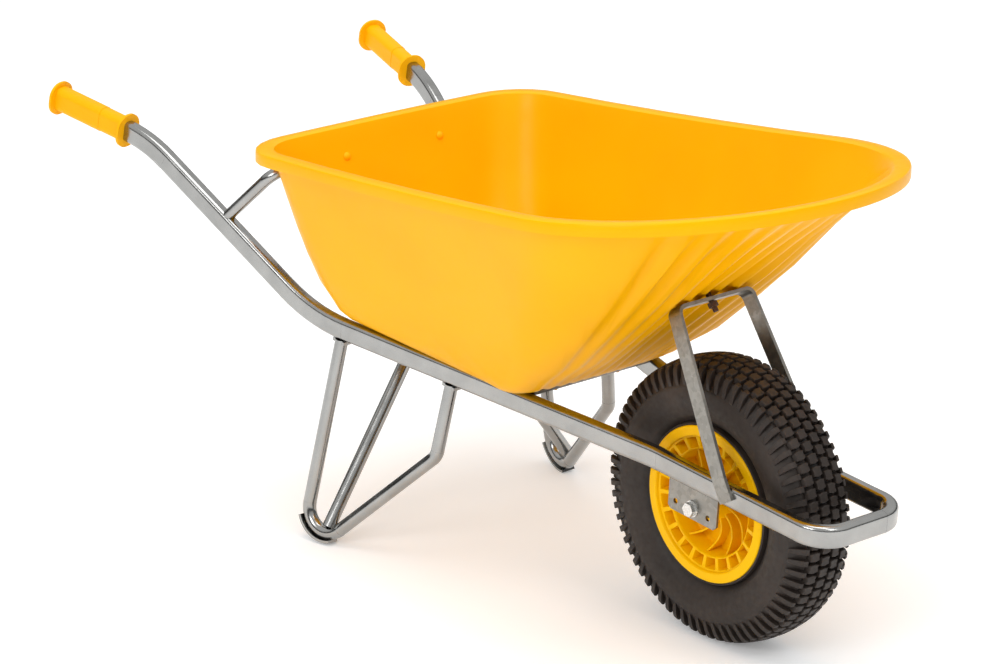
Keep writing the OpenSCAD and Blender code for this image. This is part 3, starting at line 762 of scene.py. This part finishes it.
class OBJECT_OT_barrow_stage(bpy.types.Operator):
    """Makes the floor, the soft lights and the camera"""
    bl_idname = "object.barrow_stage"
    bl_label = "Stage"

    def execute(self, context):
        deselect_all()
        bpy.ops.mesh.primitive_plane_add(size=60, location=(0, 0, 0))
        floor = bpy.context.active_object
        floor.name = "floor"
        edit_mode()
        bpy.ops.mesh.subdivide(number_cuts=3)
        edit_mode(False)
        mat, tree, shader = finish_named("floor_paper", (0.96, 0.96, 0.96), 0.0, 0.95)
        shader.inputs["Specular IOR Level"].default_value = 0.0
        paper = ramp(tree, noise(tree, place_of(tree), 2.0),
                     [(0.0, (0.955, 0.955, 0.955)), (1.0, (0.965, 0.965, 0.965))])
        tree.links.new(paper, shader.inputs["Base Color"])
        shader.inputs["Emission Color"].default_value = (1, 1, 1, 1)
        shader.inputs["Emission Strength"].default_value = 0.2
        give(floor, mat)

        world = bpy.data.worlds.new("studio")
        context.scene.world = world
        world.use_nodes = True
        sky = world.node_tree
        back = sky.nodes["Background"]
        where = sky.nodes.new("ShaderNodeTexCoord")
        split = sky.nodes.new("ShaderNodeSeparateXYZ")
        sky.links.new(where.outputs["Generated"], split.inputs["Vector"])
        tone = ramp(sky, split.outputs["Z"], [
            (0.0, (0.7, 0.7, 0.7)), (1.0, (0.95, 0.95, 0.95)), (0.03, (0.03, 0.03, 0.03)),
            (0.20, (0.06, 0.06, 0.06)), (0.32, (0.75, 0.75, 0.74)), (0.55, (0.95, 0.95, 0.95))])
        sky.links.new(tone, back.inputs["Color"])
        back.inputs["Strength"].default_value = 0.85

        soft_light("side_light", (0.9, -4.4, 2.5), (0.1, 0, 0.4), (2.2, 1.4), 60)
        soft_light("front_light", (3.4, -0.3, 3.9), (-0.2, 0, 0.5), (1.2, 1.2), 34)
        soft_light("top_light", (0.2, -0.2, 4.2), (0, 0, 0.3), (2.4, 2.4), 60)

        data = bpy.data.cameras.new("camera")
        data.sensor_width = 36
        data.lens = 135.494
        data.clip_end = 100
        camera = bpy.data.objects.new("camera", data)
        context.scene.collection.objects.link(camera)
        azimuth, elevation, roll = 0.85867, 0.33857, 0.01502
        back_way = Vector((math.sin(azimuth) * math.cos(elevation),
                           -math.cos(azimuth) * math.cos(elevation), math.sin(elevation)))
        right = Vector((math.cos(azimuth), math.sin(azimuth), 0))
        up = back_way.cross(right)
        side_way = right * math.cos(roll) + up * math.sin(roll)
        up_way = up * math.cos(roll) - right * math.sin(roll)
        turn = Matrix((side_way, up_way, back_way)).transposed()
        camera.matrix_world = Matrix.Translation((3.9495, -3.4386, 2.1666)) @ turn.to_4x4()
        context.scene.camera = camera
        context.scene.view_settings.view_transform = "Standard"
        return {"FINISHED"}


STEPS = (OBJECT_OT_barrow_stage, OBJECT_OT_barrow_tyre, OBJECT_OT_barrow_tread,
         OBJECT_OT_barrow_wheel, OBJECT_OT_barrow_tray, OBJECT_OT_barrow_welds,
         OBJECT_OT_barrow_finishes)


class VIEW3D_PT_barrow(bpy.types.Panel):
    """Lists the steps that build the wheelbarrow"""
    bl_idname = "VIEW3D_PT_barrow"
    bl_label = "Wheelbarrow"
    bl_space_type = "VIEW_3D"
    bl_region_type = "UI"
    bl_category = "Wheelbarrow"

    def draw(self, context):
        for step in STEPS:
            self.layout.operator(step.bl_idname)
        for settings in (context.scene.barrow_tyre, context.scene.barrow_wheel,
                         context.scene.barrow_tray, context.scene.barrow_frame):
            box = self.layout.box()
            for name in settings.__annotations__:
                box.prop(settings, name)


SETTINGS = (("barrow_tyre", TyreSettings), ("barrow_wheel", WheelSettings),
            ("barrow_tray", TraySettings), ("barrow_frame", FrameSettings))


def register():
    for name, group in SETTINGS:
        bpy.utils.register_class(group)
        setattr(bpy.types.Scene, name, bpy.props.PointerProperty(type=group))
    for each in (*STEPS, VIEW3D_PT_barrow):
        bpy.utils.register_class(each)


def unregister():
    for each in reversed((*STEPS, VIEW3D_PT_barrow)):
        bpy.utils.unregister_class(each)
    for name, group in reversed(SETTINGS):
        delattr(bpy.types.Scene, name)
        bpy.utils.unregister_class(group)


def main():
    register()
    bpy.ops.object.barrow_stage()
    bpy.ops.object.barrow_tyre()
    bpy.ops.object.barrow_tread()
    bpy.ops.object.barrow_wheel()
    bpy.ops.object.barrow_tray()
    bpy.ops.object.barrow_welds()
    bpy.ops.object.barrow_finishes()


if __name__ == "__main__":
    main()
